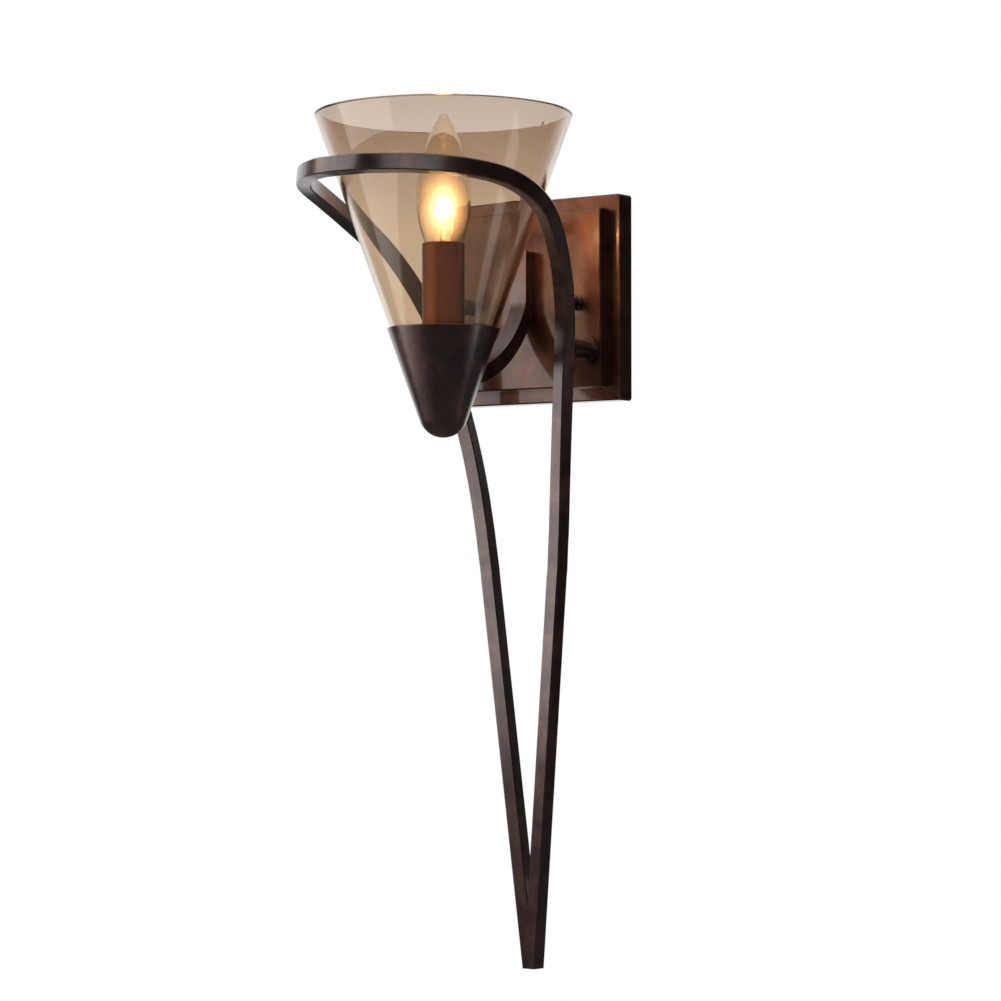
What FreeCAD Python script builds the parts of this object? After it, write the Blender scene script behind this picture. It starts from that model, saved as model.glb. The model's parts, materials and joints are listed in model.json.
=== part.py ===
# Torch sconce: a cone of amber glass in a steel cup, on a square canopy, with one square bar bent
# round the glass as a hoop, whose two legs run down to a point. Millimetres, +Z up, +X to the right
# of someone who faces the wall, -Y out of the wall. The origin is on the wall, midway between the two
# screws that hold the crossbar.
import FreeCAD
import Part

import math
import os

# --- canopy: a square pressed shell in two tiers, open at the back ---
CANOPY_SIDE = 134.5
TIER_DEPTH = 13.0
PANEL_LEDGE = 9.0          # tier left in view round the panel
PANEL_RISE = 9.8
CANOPY_SHEET = 1.5
CANOPY_RISE = 3.5          # centre of the canopy above the crossbar
CANOPY_CORNER = 2.0        # round of the four upright corners
CANOPY_EDGE = 1.2          # round of the front edges

# --- crossbar, studs and ball nuts ---
CROSSBAR_END = 12.0        # bar beyond each stud
CROSSBAR_WIDTH = 22.0
CROSSBAR_SHEET = 2.0
CROSSBAR_WIRE_HOLE = 11.0
BOX_SCREW_SPACING = 60.0   # wall box screws
BOX_SLOT_LENGTH = 10.0
BOX_SLOT_WIDTH = 4.5
STUD_MARGIN = 5.0          # stud beyond the slot's end
STUD_DIAMETER = 5.0
STUD_HOLE_CLEARANCE = 0.5  # radial, in the canopy
STUD_END_GAP = 2.0         # from the stud's end to the bottom of the nut's bore
HEX_M5 = 8.0
NUT_M5_HEIGHT = 4.0
BALL_DIAMETER = 11.5
BALL_STAND = 12.0          # ball centre in front of the panel
BALL_NECK_WALL = 1.15
BALL_FLANGE_LIP = 1.3
BALL_FLANGE_THICK = 1.6
BALL_BORE_CLEARANCE = 0.05  # radial, on the stud
GROUND_X = 16.0
GROUND_SCREW = 4.0
GROUND_HEX = 7.0
GROUND_HEAD = 3.0
GROUND_REACH = 5.0

# --- arm: a rectangular tube against the panel that curves forward into the cup ---
ARM_WIDTH = 12.0
ARM_DEPTH = 10.0
ARM_WALL = 1.3
ARM_SCREW_TO_END = 9.0     # arm above its screw
ARM_BEND_TOP = 3.5
ARM_KNEE_RADIUS = 20.0     # first bend, on the centre line
ARM_KNEE = 25.0            # lean after it, degrees from plumb
ARM_END_LEAN = 88.0        # lean at the end, inside the cup
ARM_END_SHORT = 14.5       # end of the centre line from the shade's axis
ARM_CAP = 1.3
ARM_NIPPLE_UP = 12.0
ARM_SCREW_GAP = 1.2        # between the washer and the screw's head
ARM_SCREW = 4.0
ARM_SCREW_HEAD = 7.6
ARM_SCREW_HEAD_THICK = 2.6
ARM_SCREW_REACH = 3.5      # into the tube, past the panel
NIPPLE_DIAMETER = 8.0
NIPPLE_BORE = 5.0
NIPPLE_INTO_ARM = 3.0
NIPPLE_INTO_CANOPY = 11.0  # behind the panel's inner face
NIPPLE_NUT_HEX = 13.0
NIPPLE_NUT_HEIGHT = 5.0
NIPPLE_WASHER = 16.0
NIPPLE_WASHER_THICK = 1.2
BUSHING_FLANGE = 8.6
BUSHING_WALL = 0.7
BUSHING_LENGTH = 6.0

# --- hoop frame: one bar, bent as a flat hairpin, then leant forward over its length ---
BAR_WIDTH = 9.5            # in the plane of the hairpin
BAR_THICK = 10.5           # square to it
BAR_CHAMFER = 0.7
TIP_OUT = 16.3             # bar centre from the wall at the tip
TIP_DROP = 434.4           # tip below the crossbar
TIP_HALF = 0.5             # half the spread of the bar centres at the tip
LEG_SPREAD = 5.8           # degrees, each leg off the centre plane
HOOP_RISE = 71.44          # end of the top bend above the crossbar; the legs' length follows
LEG_LEAN = 2.4             # degrees forward of plumb
SHIN_RADIUS = 681.0        # forward bends, upwards, each with the lean that it reaches
SHIN_LEAN = 14.9
KNEE_RADIUS = 135.6
KNEE_LEAN = 82.9
CROWN_RADIUS = 367.0
CROWN_LEAN = 90.8
FLARE_RISE = 40.68         # straight in the flat hairpin above the first forward bend's start
FLARE_RADIUS = 900.0
FLARE = 15.3               # degrees
FLARE_STRAIGHT = 57.0      # straight again above the flare
SHOULDER_RADIUS = 104.7
SHOULDER_TURN = 57.0       # degrees past straight, where the tighter nose begins
LEG_ROLL = -5.0            # turn of the bar about its own length, in the straight legs
KNEE_ROLL = -12.0          # and beside the glass
NOSE_ROLL = 10.0           # and at the front of the hoop
STATION_STEP = 12.0        # spacing of the sections along the bends

# --- stand-offs between the panel and the legs ---
STANDOFF_DROP = 31.1       # below the crossbar
STANDOFF_DIAMETER = 12.0
STANDOFF_FLANGE = 17.0
STANDOFF_FLANGE_THICK = 2.5
STANDOFF_SCREW = 4.0
STANDOFF_HEAD = 7.6
STANDOFF_HEAD_THICK = 2.6
STANDOFF_SCREW_REACH = 12.0

# --- cup, socket plate and shade, all on one upright axis ---
AXIS_OUT = 114.8           # from the wall
TAPER = 19.6               # degrees, of the cup and the shade
CUP_RIM_RADIUS = 36.0
CUP_RIM_DROP = 21.1        # below the crossbar
CUP_HEIGHT = 69.7
CUP_WALL = 1.6
CUP_LIP = 0.5
SHADE_SINK = 18.5          # shade's lower edge below the cup's rim
SHADE_RISE = 136.0         # shade's rim above the cup's rim
SHADE_WALL = 3.0
SHADE_CLEARANCE = 0.33     # between shade and cup, square to the cone
GASKET_THICK = 1.5
GASKET_WIDTH = 4.0
GASKET_CLEARANCE = 0.3
PLATE_THICK = 2.0
PLATE_CLEARANCE = 0.05
PLATE_VENT = 5.0
PLATE_VENT_RADIUS = 18.5
PLATE_VENTS = 6

# --- candle sleeve, socket and its bracket ---
SOCKET_DIAMETER = 23.4
SOCKET_FLOOR = 5.5
SOCKET_STAND = 24.0        # socket's underside above the plate
SHELL_CLEARANCE = 0.4      # radial, round the lamp's cap
SHELL_WALL = 0.5
SHELL_SHORT = 2.0          # shell's mouth below the socket's mouth
SKIRT_CLEARANCE = 0.4      # socket's mouth below the cap's skirt
FIT_CLEARANCE = 0.1        # radial, between pieces pushed together
SLEEVE_WALL = 1.2
SLEEVE_CLEARANCE = 0.6     # round the socket, and round the bulb at the sleeve's mouth
SLEEVE_CHAMFER = 0.4
CONTACT_THICK = 0.6
CONTACT_WIDTH = 4.0
CONTACT_LENGTH = 9.0
CONTACT_RISE = 2.8         # top of the sprung contact above the socket's floor
CONTACT_GAP = 0.3          # under the bulb's tip contact
BRACKET_WIDTH = 12.0
BRACKET_SHEET = 1.4
BRACKET_NUT_GAP = 1.1      # between the upright and the nut
BRACKET_TAIL = 7.0         # foot beyond the axis
SOCKET_NIPPLE = 9.6
SOCKET_NIPPLE_BORE = 7.0
SOCKET_NIPPLE_DOWN = 8.0
SOCKET_NIPPLE_UP = 7.0
SOCKET_NUT_HEX = 13.0
SOCKET_NUT_HEIGHT = 3.5
BRACKET_SCREW = 3.0
BRACKET_SCREW_HEAD = 5.6
BRACKET_SCREW_HEAD_THICK = 1.8
BRACKET_SCREW_REACH = 4.0

# --- candle bulb ---
BULB_DIAMETER = 35.0
BULB_WALL = 0.9
BULB_LENGTH = 99.9         # from the cap's skirt to the tip
BULB_WIDEST_UP = 44.3      # above the skirt
BULB_BELLY_RADIUS = 66.0
BULB_POINT_RADIUS = 3.4
BULB_NECK = 16.0
BASE_DIAMETER = 13.9
BASE_SKIRT = 17.2
BASE_SKIRT_HEIGHT = 3.0
BASE_HEIGHT = 16.0
BASE_WALL = 0.4
INSULATOR_HEIGHT = 3.5
TIP_CONTACT = 6.0
TIP_CONTACT_HEIGHT = 2.0
STEM_DIAMETER = 5.0
STEM_HEIGHT = 31.0
STEM_BUTTON = 6.4
FILAMENT_STAND = 4.9       # above the stem
FILAMENT_SPAN = 15.0
FILAMENT_HEIGHT = 9.0
FILAMENT_COIL = 1.6
SUPPORT_WIRE = 0.8

Z = FreeCAD.Vector(0, 0, 1)
OUT = FreeCAD.Vector(0, -1, 0)
BACK = FreeCAD.Vector(0, 1, 0)
PANEL_FRONT = TIER_DEPTH + PANEL_RISE
PANEL_INNER = PANEL_FRONT - CANOPY_SHEET
SLOPE = math.tan(math.radians(TAPER))
CONE = math.cos(math.radians(TAPER))
CUP_RIM = -CUP_RIM_DROP
SHADE_FOOT = CUP_RIM - SHADE_SINK
PLATE_TOP = SHADE_FOOT - GASKET_THICK
SOCKET_BOTTOM = PLATE_TOP + SOCKET_STAND
CONTACT_TOP = SOCKET_BOTTOM + SOCKET_FLOOR + CONTACT_RISE
BASE_BOTTOM = CONTACT_TOP + CONTACT_GAP + TIP_CONTACT_HEIGHT + INSULATOR_HEIGHT
SKIRT_BOTTOM = BASE_BOTTOM + BASE_HEIGHT
BASE_TOP = SKIRT_BOTTOM + BASE_SKIRT_HEIGHT
SOCKET_MOUTH = SKIRT_BOTTOM - SKIRT_CLEARANCE
BULB_TIP = BASE_TOP + BULB_LENGTH
BULB_MIDDLE = BASE_TOP + BULB_WIDEST_UP
SHELL_BORE = BASE_DIAMETER + 2 * SHELL_CLEARANCE
SLEEVE_BORE = SOCKET_DIAMETER + 2 * SLEEVE_CLEARANCE
PANEL_SIDE = CANOPY_SIDE - 2 * PANEL_LEDGE
STUD_SPACING = BOX_SCREW_SPACING + BOX_SLOT_LENGTH + 2 * STUD_MARGIN
BALL_NECK = STUD_DIAMETER + 2 * BALL_NECK_WALL
ARM_SCREW_UP = ARM_NIPPLE_UP + (NIPPLE_WASHER + ARM_SCREW_HEAD) / 2 + ARM_SCREW_GAP
ARM_TOP = ARM_SCREW_UP + ARM_SCREW_TO_END


def vec(x, y, z):
    return FreeCAD.Vector(x, y, z)


def rod(diameter, start, direction, length):
    return Part.makeCylinder(diameter / 2, length, start, direction)


def tube(outer, inner, start, direction, length):
    return rod(outer, start, direction, length).cut(rod(inner, start, direction, length))


def slab(low, high):
    size = high.sub(low)
    return Part.makeBox(size.x, size.y, size.z, low)


def hexagon(across, height, start, direction):
    radius = across / math.sqrt(3)
    corners = []
    for k in range(7):
        angle = math.radians(60 * k + 30)
        corners.append(vec(radius * math.cos(angle), radius * math.sin(angle), 0))
    prism = Part.Face(Part.makePolygon(corners)).extrude(vec(0, 0, height))
    prism.Placement = FreeCAD.Placement(start, FreeCAD.Rotation(Z, direction))
    return prism


def turned(edges, centre=None, axis=Z):
    """Revolves a closed outline of edges, drawn in the XZ plane, about the shade's axis."""
    face = Part.Face(Part.Wire(Part.__sortEdges__(edges)))
    solid = face.revolve(vec(0, 0, 0), Z, 360)
    spot = vec(0, -AXIS_OUT, 0) if centre is None else centre
    solid.Placement = FreeCAD.Placement(spot, FreeCAD.Rotation(Z, axis))
    return solid


def path(points):
    """Straight edges through (radius, height) points."""
    made = []
    for a, b in zip(points, points[1:]):
        made.append(Part.makeLine(vec(a[0], 0, a[1]), vec(b[0], 0, b[1])))
    return made


def bow(a, through, b):
    """One arc through three (radius, height) points."""
    ends = [vec(p[0], 0, p[1]) for p in (a, through, b)]
    return Part.Arc(*ends).toShape()


# --- canopy -------------------------------------------------------------------------------------
def tier(side, near, far, corner):
    half = side / 2
    box = slab(vec(-half, -far, CANOPY_RISE - half), vec(half, -near, CANOPY_RISE + half))
    upright = [e for e in box.Edges if abs(e.tangentAt(e.FirstParameter).y) > 0.9]
    return box.makeFillet(corner, upright)


def front_edges(solid, depth, side):
    found = []
    for edge in solid.Edges:
        box = edge.BoundBox
        flat = abs(box.YMin + depth) < 1e-4 and abs(box.YMax + depth) < 1e-4
        reach = max(abs(box.XMin), abs(box.XMax)) * 2
        if flat and (reach > side - 2 * CANOPY_CORNER - 1e-4):
            found.append(edge)
    return found


def canopy():
    outer = tier(CANOPY_SIDE, 0, TIER_DEPTH, CANOPY_CORNER)
    outer = outer.makeFillet(CANOPY_EDGE, front_edges(outer, TIER_DEPTH, CANOPY_SIDE))
    panel = tier(PANEL_SIDE, 0, PANEL_FRONT, CANOPY_CORNER)
    panel = panel.makeFillet(CANOPY_EDGE, front_edges(panel, PANEL_FRONT, PANEL_SIDE))
    shell = outer.fuse(panel)
    inner = max(CANOPY_CORNER - CANOPY_SHEET, 0.4)
    shell = shell.cut(tier(CANOPY_SIDE - 2 * CANOPY_SHEET, 0, TIER_DEPTH - CANOPY_SHEET, inner))
    shell = shell.cut(tier(PANEL_SIDE - 2 * CANOPY_SHEET, 0, PANEL_INNER, inner))
    start = PANEL_INNER - CANOPY_SHEET
    depth = 3 * CANOPY_SHEET
    holes = [(0, ARM_NIPPLE_UP, NIPPLE_DIAMETER), (0, ARM_SCREW_UP, ARM_SCREW)]
    for side in (-1, 1):
        holes.append((side * STUD_SPACING / 2, 0, STUD_DIAMETER))
        holes.append((side * standoff_centre().x, -STANDOFF_DROP, STANDOFF_SCREW))
    for x, z, diameter in holes:
        shell = shell.cut(rod(diameter + 2 * STUD_HOLE_CLEARANCE, vec(x, -start, z), OUT, depth))
    return shell.removeSplitter()


# --- crossbar and its hardware ------------------------------------------------------------------
def slot(centre_x, length, width, depth):
    run = (length - width) / 2
    body = slab(vec(centre_x - run, -depth, -width / 2), vec(centre_x + run, 0, width / 2))
    for side in (-1, 1):
        body = body.fuse(rod(width, vec(centre_x + side * run, 0, 0), OUT, depth))
    return body


def crossbar():
    length = STUD_SPACING + 2 * CROSSBAR_END
    plate = slot(0, length, CROSSBAR_WIDTH, CROSSBAR_SHEET).removeSplitter()
    plate = plate.cut(rod(CROSSBAR_WIRE_HOLE, vec(0, 0, 0), OUT, CROSSBAR_SHEET))
    plate = plate.cut(rod(GROUND_SCREW, vec(GROUND_X, 0, 0), OUT, CROSSBAR_SHEET))
    for side in (-1, 1):
        plate = plate.cut(slot(side * BOX_SCREW_SPACING / 2, BOX_SLOT_LENGTH, BOX_SLOT_WIDTH,
                               CROSSBAR_SHEET))
        hole = rod(STUD_DIAMETER, vec(side * STUD_SPACING / 2, 0, 0), OUT, CROSSBAR_SHEET)
        plate = plate.cut(hole)
    return plate


def nut_bore_end():
    return PANEL_FRONT + BALL_STAND + BALL_DIAMETER / 4


def mounting_studs():
    pair = []
    for side in (-1, 1):
        pair.append(rod(STUD_DIAMETER, vec(side * STUD_SPACING / 2, 0, 0), OUT,
                        nut_bore_end() - STUD_END_GAP))
    return Part.Compound(pair)


def stud_locknuts():
    pair = []
    for side in (-1, 1):
        spot = vec(side * STUD_SPACING / 2, -CROSSBAR_SHEET, 0)
        nut = hexagon(HEX_M5, NUT_M5_HEIGHT, spot, OUT)
        pair.append(nut.cut(rod(STUD_DIAMETER, spot, OUT, NUT_M5_HEIGHT)))
    return Part.Compound(pair)


def ground_screw():
    spot = vec(GROUND_X, -CROSSBAR_SHEET, 0)
    head = hexagon(GROUND_HEX, GROUND_HEAD, spot, OUT)
    shank = rod(GROUND_SCREW, vec(GROUND_X, 0, 0), OUT, CROSSBAR_SHEET)
    groove = slab(vec(GROUND_X - GROUND_HEX, -CROSSBAR_SHEET - GROUND_HEAD, -GROUND_SCREW / 8),
                  vec(GROUND_X + GROUND_HEX, -CROSSBAR_SHEET - GROUND_HEAD * 0.7, GROUND_SCREW / 8))
    return head.cut(groove).fuse(shank).removeSplitter()


def ball_nut(side):
    radius = BALL_DIAMETER / 2
    neck = BALL_NECK / 2
    reach = math.sqrt(radius ** 2 - neck ** 2)
    bore = STUD_DIAMETER / 2 + BALL_BORE_CLEARANCE
    deep = nut_bore_end() - PANEL_FRONT
    flange = neck + BALL_FLANGE_LIP
    edges = path([(bore, deep), (bore, 0), (flange, 0), (flange, BALL_FLANGE_THICK),
                  (neck, BALL_FLANGE_THICK + (flange - neck) / 2), (neck, BALL_STAND - reach)])
    edges.append(bow((neck, BALL_STAND - reach), (radius, BALL_STAND), (0, BALL_STAND + radius)))
    edges += path([(0, BALL_STAND + radius), (0, deep), (bore, deep)])
    return turned(edges, vec(side * STUD_SPACING / 2, -PANEL_FRONT, 0), OUT)


# --- arm ----------------------------------------------------------------------------------------
def arm_bends():
    """Centre-line radius and lean reached of each bend; the last one ends inside the cup."""
    knee = math.cos(math.radians(ARM_KNEE))
    start = PANEL_FRONT + ARM_DEPTH / 2 + ARM_KNEE_RADIUS * (1 - knee)
    reach = AXIS_OUT - ARM_END_SHORT - start
    sweep = reach / (knee - math.cos(math.radians(ARM_END_LEAN)))
    return (ARM_KNEE_RADIUS, ARM_KNEE), (sweep, ARM_END_LEAN)


def arm_line(offset, top):
    """The arm's side outline at an offset from its centre line, as edges in the YZ plane."""
    y = -(PANEL_FRONT + ARM_DEPTH / 2)
    lean = 0.0
    z = ARM_BEND_TOP
    edges = [Part.makeLine(vec(0, y + offset, top), vec(0, y + offset, z))]
    for radius, reached in arm_bends():
        middle_y = y - radius * math.cos(math.radians(lean))
        middle_z = z + radius * math.sin(math.radians(lean))
        spots = []
        for angle in (lean, (lean + reached) / 2, reached):
            a = math.radians(angle)
            spots.append(vec(0, middle_y + (radius + offset) * math.cos(a),
                             middle_z - (radius + offset) * math.sin(a)))
        edges.append(Part.Arc(*spots).toShape())
        y = middle_y + radius * math.cos(math.radians(reached))
        z = middle_z - radius * math.sin(math.radians(reached))
        lean = reached
    return edges


def arm_band(half_depth, half_width, top):
    near = arm_line(half_depth, top)
    far = arm_line(-half_depth, top)
    ends = []
    for k in (0, -1):
        corner = 0 if k == 0 else 1
        ends.append(Part.makeLine(near[k].Vertexes[corner].Point, far[k].Vertexes[corner].Point))
    face = Part.Face(Part.Wire(Part.__sortEdges__(near + far + ends)))
    band = face.extrude(vec(2 * half_width, 0, 0))
    band.translate(vec(-half_width, 0, 0))
    return band


def arm_channel():
    return arm_band(ARM_DEPTH / 2 - ARM_WALL, ARM_WIDTH / 2 - ARM_WALL, ARM_TOP)


def arm():
    body = arm_band(ARM_DEPTH / 2, ARM_WIDTH / 2, ARM_TOP).cut(arm_channel())
    body = body.cut(cup_envelope())
    wall = vec(0, -PANEL_FRONT, ARM_NIPPLE_UP)
    body = body.cut(rod(NIPPLE_DIAMETER, wall, OUT, NIPPLE_INTO_ARM))
    return body.cut(rod(ARM_SCREW, vec(0, -PANEL_FRONT, ARM_SCREW_UP), OUT, ARM_SCREW_REACH))


def arm_end_cap():
    near = -PANEL_FRONT
    half = ARM_WIDTH / 2
    return slab(vec(-half, near - ARM_DEPTH, ARM_TOP), vec(half, near, ARM_TOP + ARM_CAP))


def arm_nipple():
    start = vec(0, -PANEL_INNER + NIPPLE_INTO_CANOPY, ARM_NIPPLE_UP)
    length = NIPPLE_INTO_CANOPY + CANOPY_SHEET + NIPPLE_INTO_ARM
    return tube(NIPPLE_DIAMETER, NIPPLE_BORE, start, OUT, length)


def nipple_washer():
    start = vec(0, -PANEL_INNER, ARM_NIPPLE_UP)
    return tube(NIPPLE_WASHER, NIPPLE_DIAMETER + 2 * FIT_CLEARANCE, start, BACK,
                NIPPLE_WASHER_THICK)


def nipple_nut():
    start = vec(0, -PANEL_INNER + NIPPLE_WASHER_THICK, ARM_NIPPLE_UP)
    nut = hexagon(NIPPLE_NUT_HEX, NIPPLE_NUT_HEIGHT, start, BACK)
    return nut.cut(rod(NIPPLE_DIAMETER, start, BACK, NIPPLE_NUT_HEIGHT))


def nipple_bushing():
    end = vec(0, -PANEL_INNER + NIPPLE_INTO_CANOPY, ARM_NIPPLE_UP)
    outer = NIPPLE_BORE
    body = rod(outer, end, OUT, BUSHING_LENGTH)
    body = body.fuse(rod(BUSHING_FLANGE, end, BACK, BUSHING_WALL))
    through = end.add(vec(0, BUSHING_WALL, 0))
    bored = body.cut(rod(outer - 2 * BUSHING_WALL, through, OUT, BUSHING_LENGTH + BUSHING_WALL))
    return bored.removeSplitter()


def pan_screw(spot, diameter, head, head_thick, reach):
    """A slotted screw that points out of the wall, with its head's seat at the spot."""
    crown = head_thick * 0.55
    outline = path([(0, 0), (head / 2, 0), (head / 2, crown), (head / 2 - crown, head_thick),
                    (0, head_thick), (0, 0)])
    cap = turned(outline, spot, BACK)
    top = spot.y + head_thick
    groove = slab(vec(spot.x - head, top - head_thick * 0.4, spot.z - head * 0.07),
                  vec(spot.x + head, top, spot.z + head * 0.07))
    return rod(diameter, spot, OUT, reach).fuse(cap.cut(groove)).removeSplitter()


def arm_screw():
    return pan_screw(vec(0, -PANEL_INNER, ARM_SCREW_UP), ARM_SCREW, ARM_SCREW_HEAD,
                     ARM_SCREW_HEAD_THICK, CANOPY_SHEET + ARM_SCREW_REACH)


# --- hoop frame ---------------------------------------------------------------------------------
def forward_bends():
    return (SHIN_RADIUS, SHIN_LEAN), (KNEE_RADIUS, KNEE_LEAN), (CROWN_RADIUS, CROWN_LEAN)


def leg_straight():
    """Straight length from the tip that carries the hoop to its height."""
    rise = HOOP_RISE + TIP_DROP
    lean = math.radians(LEG_LEAN)
    for radius, reached in forward_bends():
        angle = math.radians(reached)
        rise -= radius * (math.sin(angle) - math.sin(lean))
        lean = angle
    return rise / math.cos(math.radians(LEG_LEAN))


def bend_start():
    return leg_straight() / math.cos(math.radians(LEG_SPREAD))


def hairpin():
    """The flat hairpin from tip to nose, as (length, heading at start, heading at end)."""
    spread = math.radians(LEG_SPREAD)
    flare = math.radians(FLARE)
    turn = math.radians(SHOULDER_TURN)
    bend = FLARE_RADIUS * (flare - spread)
    runs = [(bend_start() + FLARE_RISE, spread, spread), (bend, spread, flare),
            (FLARE_STRAIGHT, flare, flare),
            (SHOULDER_RADIUS * (flare + turn), flare, -turn)]
    half = TIP_HALF
    for length, start, end in runs:
        half += run_offset(length, start, end, length)[0]
    nose = half / math.cos(turn)
    runs.append((nose * (math.pi / 2 - turn), -turn, -math.pi / 2))
    runs.append((STATION_STEP, -math.pi / 2, -math.pi / 2 - STATION_STEP / nose))
    return runs


def side_view():
    """The lean of the hairpin's sheet from plumb, as (length, lean at start, lean at end)."""
    lean = math.radians(LEG_LEAN)
    runs = [(leg_straight(), lean, lean)]
    for radius, reached in forward_bends():
        angle = math.radians(reached)
        runs.append((radius * (angle - lean), lean, angle))
        lean = angle
    return runs


def run_offset(length, start, end, at):
    """Sideways and forward travel after `at` along a run whose heading changes evenly."""
    heading = start + (end - start) * at / length
    if abs(end - start) < 1e-9:
        return at * math.sin(start), at * math.cos(start), heading
    radius = length / (end - start)
    side = radius * (math.cos(start) - math.cos(heading))
    ahead = radius * (math.sin(heading) - math.sin(start))
    return side, ahead, heading


def follow(runs, distance):
    """Travel and heading at a distance along runs; past the last run it goes straight on."""
    side = 0.0
    ahead = 0.0
    for length, start, end in runs:
        at = min(distance, length)
        ds, da, heading = run_offset(length, start, end, at)
        side += ds
        ahead += da
        distance -= at
        if distance <= 0:
            return side, ahead, heading
    return side + distance * math.sin(heading), ahead + distance * math.cos(heading), heading


def blend(value, low, high):
    part = min(max((value - low) / (high - low), 0.0), 1.0)
    return part * part * (3 - 2 * part)


def roll_at(distance, runs):
    shoulder = sum(r[0] for r in runs[:3])
    nose = sum(r[0] for r in runs[:5])
    knee = LEG_ROLL + (KNEE_ROLL - LEG_ROLL) * blend(distance, leg_straight(), shoulder * 0.8)
    return knee + (NOSE_ROLL - KNEE_ROLL) * blend(distance, shoulder, nose)


def bar_frame(distance):
    """Centre, direction, width and thickness axes of the right-hand half of the bar."""
    runs = hairpin()
    half, up, heading = follow(runs, distance)
    out, rise, lean = follow(side_view(), up)
    centre = vec(TIP_HALF + half, -(TIP_OUT + out), rise - TIP_DROP)
    along_sheet = vec(0, -math.sin(lean), math.cos(lean))
    along = along_sheet * math.cos(heading) + vec(1, 0, 0) * math.sin(heading)
    face = vec(0, -math.cos(lean), -math.sin(lean))
    roll = math.radians(roll_at(distance, runs))
    thick = face * math.cos(roll) + along.cross(face) * math.sin(roll)
    return centre, along, thick.cross(along), thick


def bar_section(distance):
    centre, _, wide, thick = bar_frame(distance)
    w = BAR_WIDTH / 2
    t = BAR_THICK / 2
    c = BAR_CHAMFER
    outline = [(w - c, t), (w, t - c), (w, c - t), (w - c, -t), (c - w, -t), (-w, c - t),
               (-w, t - c), (c - w, t)]
    corners = [centre + wide * a + thick * b for a, b in outline]
    return Part.makePolygon(corners + corners[:1])


def hoop_half():
    """Right-hand half: a straight leg, then one loft through sections round to the nose."""
    runs = hairpin()
    total = sum(r[0] for r in runs)
    start = bend_start()
    foot = bar_section(0)
    along = bar_frame(0)[1]
    leg = Part.Face(foot).extrude(along * start)
    below = Part.Face(foot).extrude(along * -BAR_WIDTH)
    count = int(round((total - start) / STATION_STEP))
    sections = []
    for k in range(count + 1):
        sections.append(bar_section(start + (total - start) * k / count))
    bend = Part.makeLoft(sections, True, False)
    half = leg.fuse([below, bend])
    reach = 2 * TIP_DROP
    keep = slab(vec(0, -reach, -TIP_DROP), vec(reach, 0, reach))
    return half.common(keep)


def hoop_frame():
    right = hoop_half()
    left = right.mirror(vec(0, 0, 0), vec(1, 0, 0))
    return right.fuse(left).removeSplitter()


# --- stand-offs ---------------------------------------------------------------------------------
def standoff_distance():
    """Distance along the bar at which it passes the stand-offs' height."""
    low = 0.0
    high = sum(r[0] for r in hairpin()[:3])
    for _ in range(50):
        middle = (low + high) / 2
        if bar_frame(middle)[0].z < -STANDOFF_DROP:
            low = middle
        else:
            high = middle
    return low


def standoff_centre():
    return bar_frame(standoff_distance())[0]


def standoff(side, frame):
    """A turned post whose end is cut to seat on the back of the leg."""
    centre, _, _, thick = bar_frame(standoff_distance())
    foot = vec(centre.x, -PANEL_FRONT, -STANDOFF_DROP)
    reach = -centre.y
    body = rod(STANDOFF_DIAMETER, foot, OUT, reach)
    body = body.fuse(rod(STANDOFF_FLANGE, foot, OUT, STANDOFF_FLANGE_THICK))
    seat = centre - thick * (BAR_THICK / 2)
    block = Part.makeBox(reach, reach, reach, vec(-reach / 2, -reach / 2, 0))
    block.Placement = FreeCAD.Placement(seat, FreeCAD.Rotation(Z, thick))
    body = body.cut(block)
    drill = vec(foot.x, -PANEL_INNER, foot.z)
    depth = CANOPY_SHEET + STANDOFF_SCREW_REACH
    body = body.cut(rod(STANDOFF_SCREW, drill, OUT, depth)).cut(frame)
    return body if side > 0 else body.mirror(vec(0, 0, 0), vec(1, 0, 0))


def standoff_screws():
    pair = []
    for side in (-1, 1):
        spot = vec(side * standoff_centre().x, -PANEL_INNER, -STANDOFF_DROP)
        pair.append(pan_screw(spot, STANDOFF_SCREW, STANDOFF_HEAD, STANDOFF_HEAD_THICK,
                              CANOPY_SHEET + STANDOFF_SCREW_REACH))
    return Part.Compound(pair)


# --- cup and what it holds ----------------------------------------------------------------------
def cone_radius(z, inset):
    """Radius of the cup's cone at a height, set in square to its surface."""
    return CUP_RIM_RADIUS - SLOPE * (CUP_RIM - z) - inset / CONE


def cup_outline(inset, top):
    """Edges of the cup's form set in by a wall, from the axis at the top to the axis below."""
    apex = CUP_RIM - CUP_RIM_RADIUS / SLOPE
    lean = math.radians(TAPER)
    full = (CUP_RIM - CUP_HEIGHT - apex) / (1 / math.sin(lean) - 1)
    middle = apex + full / math.sin(lean)
    radius = full - inset
    touch = (radius * math.cos(lean), middle - radius * math.sin(lean))
    edges = path([(0, top), (cone_radius(top, inset), top), touch])
    half = math.radians((90 + TAPER) / 2)
    through = (radius * math.cos(half), middle - radius * math.sin(half))
    edges.append(bow(touch, through, (0, middle - radius)))
    edges += path([(0, middle - radius), (0, top)])
    return edges


def cup_envelope():
    return turned(cup_outline(0, CUP_RIM))


def cup():
    hollow = turned(cup_outline(CUP_WALL, CUP_RIM + CUP_WALL))
    shell = cup_envelope().cut(hollow)
    rim = []
    for edge in shell.Edges:
        box = edge.BoundBox
        if abs(box.ZMin - CUP_RIM) < 1e-5 and abs(box.ZMax - CUP_RIM) < 1e-5:
            rim.append(edge)
    shell = shell.makeFillet(CUP_LIP, rim)
    return shell.cut(arm_channel())


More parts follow.
